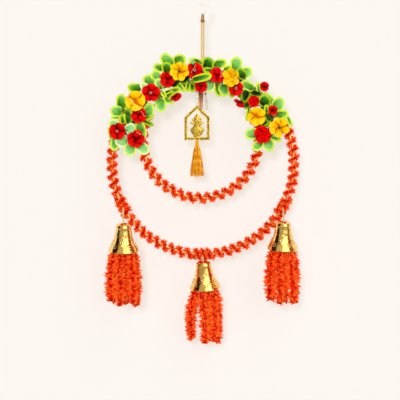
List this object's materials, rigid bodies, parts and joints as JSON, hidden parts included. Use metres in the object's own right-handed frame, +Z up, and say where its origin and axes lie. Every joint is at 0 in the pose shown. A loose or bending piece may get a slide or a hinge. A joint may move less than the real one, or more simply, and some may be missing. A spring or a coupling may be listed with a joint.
{
  "type": "decorative door hanging with two wound hoops, flowers, bells and tassels, and the ring and cord it hangs on",
  "caption": "Festive wall or door hanging: two hoops wound with fluffy strand, an arch of leaves and flowers, bells with tassels and a gilt pendant on a cord.",
  "frame": {"origin": "inner top of the hanging ring, the point that rests on a hook", "axes": "+Z up, the hoops lie in the XZ plane, and the front with the flowers faces -Y"},
  "size_m": [0.2472, 0.059, 0.4353],
  "materials": {
    "gilt_plastic": "polished",
    "gold_foil": "satin",
    "orange_fluff": "fluffy",
    "red_fluff": "fluffy",
    "leaf_green": "satin",
    "red_petal": "matte",
    "yellow_petal": "matte",
    "gold_silk": "silky",
    "gold_cord": "satin",
    "clear_plastic": "clear",
    "pearl": "pearly",
    "copper_ribbon": "satin"
  },
  "bodies": {
    "root": {"hanging_ring": "clear_plastic", "hanging_knot": "gold_cord", "hanging_cord": "gold_cord", "outer_hoop": "gold_foil", "inner_hoop": "gold_foil", "outer_garland_1": "orange_fluff", "outer_garland_2": "orange_fluff", "outer_garland_3": "orange_fluff", "outer_garland_4": "orange_fluff", "inner_garland": "orange_fluff", "bell_tie_left": "red_fluff", "bell_tie_middle": "red_fluff", "bell_tie_right": "red_fluff", "bell_left": "gilt_plastic", "bell_middle": "gilt_plastic", "bell_right": "gilt_plastic", "bell_tassel_left": "red_fluff", "bell_tassel_middle": "red_fluff", "bell_tassel_right": "red_fluff", "leaf_vine": "leaf_green", "flower_01_yellow": "yellow_petal", "flower_02_red": "red_petal", "flower_03_red": "red_petal", "flower_04_red": "red_petal", "flower_05_red": "red_petal", "flower_06_yellow": "yellow_petal", "flower_07_red": "red_petal", "flower_08_red": "red_petal", "flower_09_red": "red_petal", "flower_10_red": "red_petal", "flower_11_red": "red_petal", "flower_12_yellow": "yellow_petal", "flower_13_red": "red_petal", "flower_14_red": "red_petal", "flower_15_red": "red_petal", "flower_16_red": "red_petal", "flower_17_red": "red_petal", "flower_18_yellow": "yellow_petal", "flower_19_yellow": "yellow_petal", "flower_20_red": "red_petal", "pearl_strand": "pearl", "clear_beads": "clear_plastic", "copper_ribbon": "copper_ribbon", "pendant": "gilt_plastic", "pendant_tassel": "gold_silk"}
  },
  "joints": []
}
